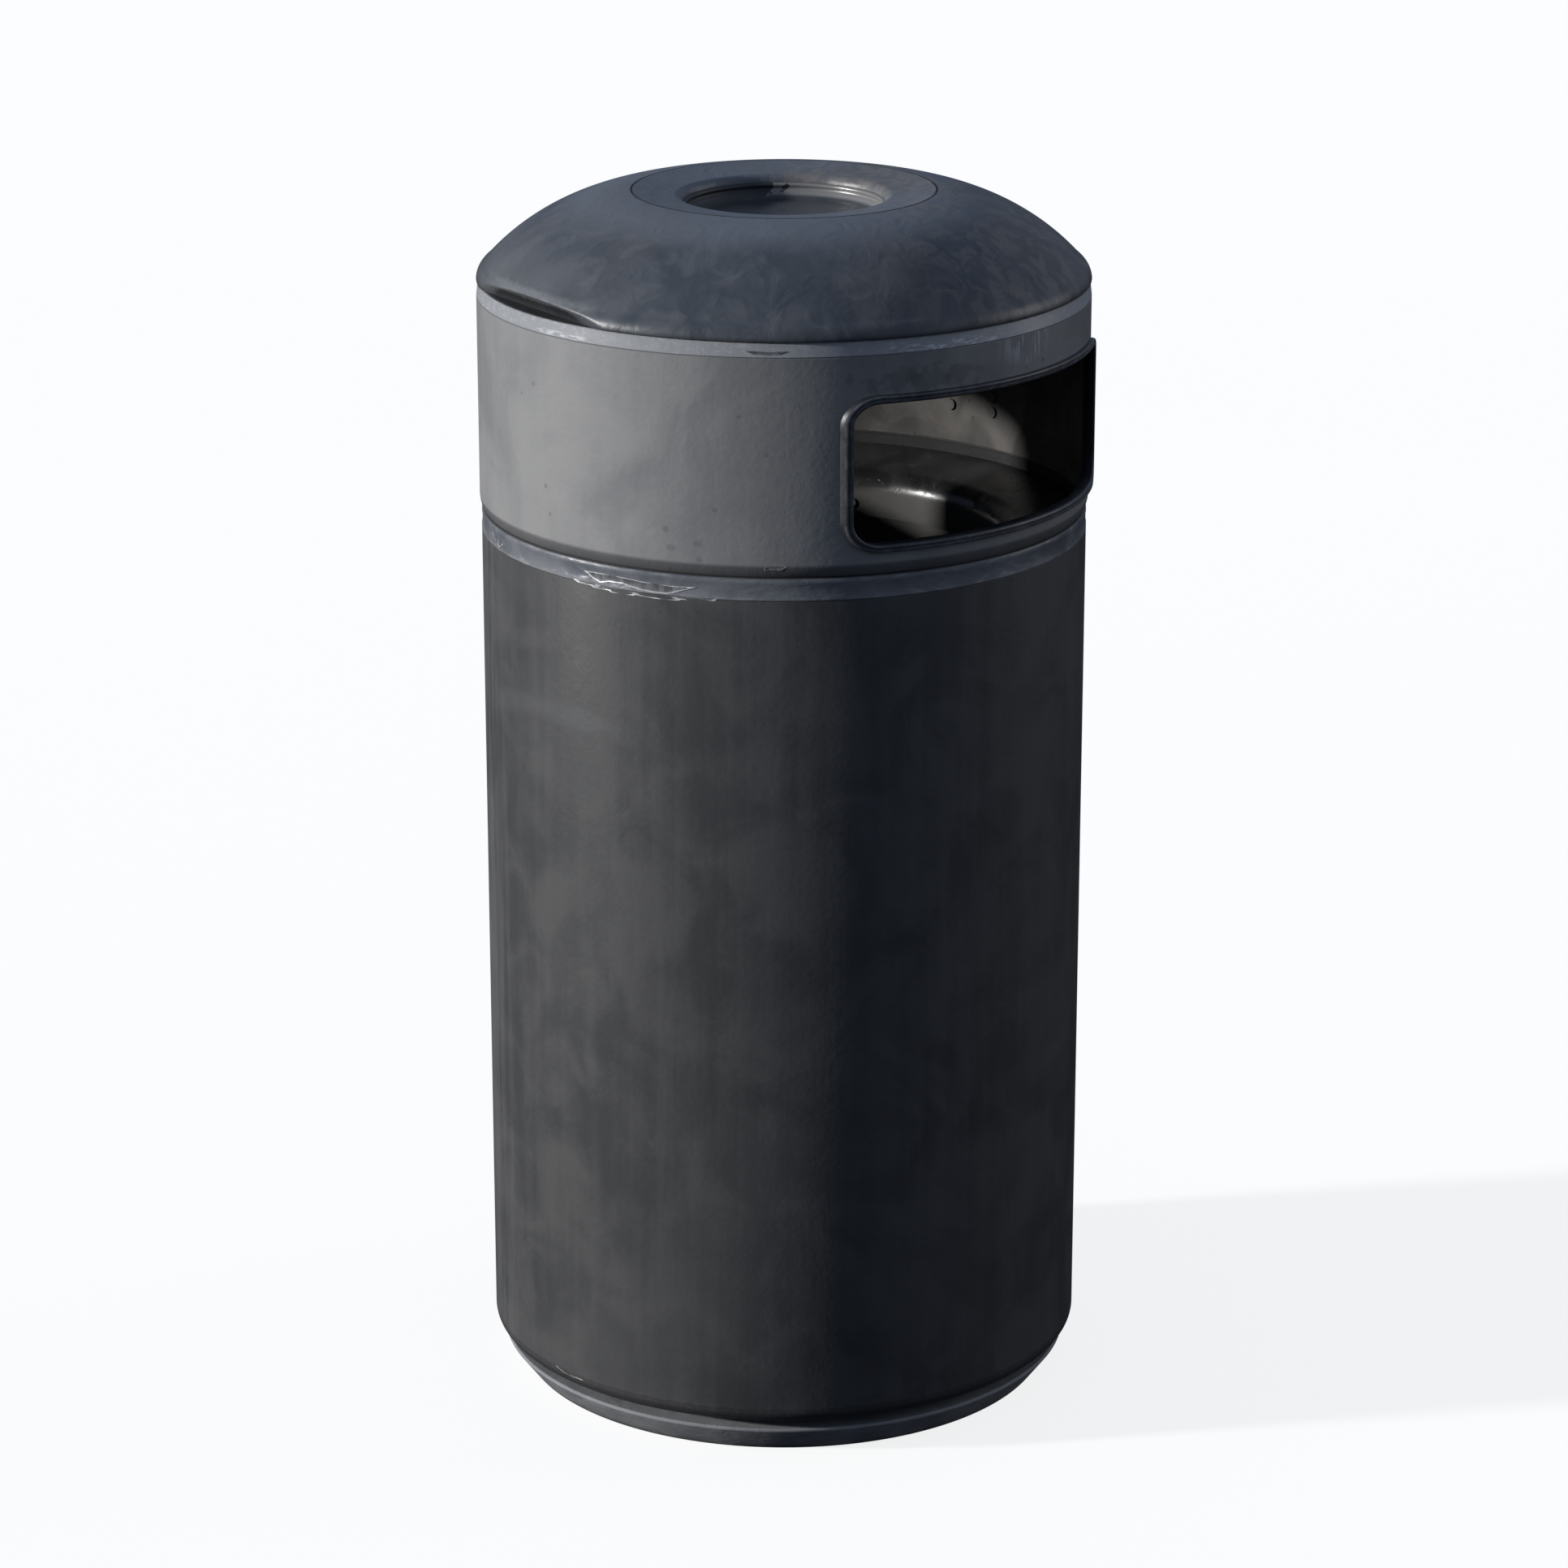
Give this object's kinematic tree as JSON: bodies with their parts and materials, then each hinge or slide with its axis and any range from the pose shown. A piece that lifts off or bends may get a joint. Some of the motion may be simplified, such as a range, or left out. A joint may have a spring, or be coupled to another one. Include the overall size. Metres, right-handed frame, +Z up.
{
  "type": "litter bin",
  "caption": "Round street litter bin with a hinged domed hood, side apertures, a lift-out ash tray, an inner lock and a lift-out liner with drop handles.",
  "frame": {"origin": "on the bin's vertical axis at the underside of the base plate, which is ground level", "axes": "+Z up along the axis; the front aperture faces -Y and the rear aperture +Y; the hood's hinge is at +X and its inside lock at -X"},
  "size_m": [0.579, 0.57, 1.1309],
  "materials": {
    "lid_paint": "weathered satin blue-grey paint, mottled",
    "hood_paint": "weathered satin light grey paint with specks",
    "body_paint": "weathered satin charcoal paint, cloudy smears",
    "band_paint": "worn grey paint, chipped to bare metal on its edges",
    "plinth_paint": "dusty mid grey paint",
    "recess_paint": "dark matt paint in the shadow gap",
    "trim_paint": "near-black satin paint, edge worn lighter",
    "rim_paint": "semi-gloss black paint, scuffed",
    "zinc": "dull galvanised steel",
    "steel": "plated steel",
    "dish_steel": "dark burnt steel with soot stain",
    "brass": "dull brass",
    "seal_rubber": "black rubber"
  },
  "bodies": {
    "stand": {"base_plate": "zinc", "plinth_skirt": "plinth_paint", "plinth_neck": "recess_paint", "body_floor": "zinc", "body_shell": "body_paint", "body_collar": "band_paint", "hood_seal": "seal_rubber", "liner_brackets": "zinc", "lock_keeper": "zinc", "hinge_lower_leaf": "body_paint", "hinge_lower_rivets": "steel", "hinge_pin": "steel"},
    "hood": {"hood_shell": "hood_paint", "hood_top_ring": "zinc", "lid_dome": "lid_paint", "lid_screws": "steel", "front_aperture_trim": "trim_paint", "rear_aperture_trim": "trim_paint", "hinge_upper_leaf": "hood_paint", "hinge_upper_rivets": "steel", "lock_bracket": "zinc", "lock_nuts": "steel"},
    "lock": {"lock_barrel": "brass", "lock_cam": "steel", "cam_nut": "steel"},
    "ash_tray_body": {"ash_tray": "lid_paint", "ash_dish_ring": "dish_steel", "ash_dish_wall": "dish_steel", "ash_dish_floor": "dish_steel"},
    "liner": {"liner_shell": "zinc", "liner_floor": "zinc", "liner_rim": "rim_paint", "liner_rivets": "steel", "handle_lugs": "zinc"},
    "front_handle": {"liner_handle_front": "steel"},
    "rear_handle": {"liner_handle_rear": "steel"}
  },
  "joints": [
    {"name": "hood_hinge", "type": "hinge", "parent": "stand", "child": "hood", "pos_m": [0.292, 0, 0.8413], "axis": [0, 1, 0], "range_deg": [0, 95]},
    {"name": "lock_turn", "type": "hinge", "parent": "hood", "child": "lock", "pos_m": [-0.26, 0, 0.862], "axis": [1, 0, 0], "range_deg": [0, 90]},
    {"name": "ash_tray_lift", "type": "slide", "parent": "hood", "child": "ash_tray_body", "axis": [0, 0, 1], "range_m": [0, 0.06]},
    {"name": "liner_lift", "type": "slide", "parent": "stand", "child": "liner", "axis": [0, 0, 1], "range_m": [0, 0.18]},
    {"name": "front_handle_swing", "type": "hinge", "parent": "liner", "child": "front_handle", "pos_m": [0, -0.224, 0.8295], "axis": [-1, 0, 0], "range_deg": [0, 90]},
    {"name": "rear_handle_swing", "type": "hinge", "parent": "liner", "child": "rear_handle", "pos_m": [0, 0.224, 0.8295], "axis": [1, 0, 0], "range_deg": [0, 90]}
  ]
}
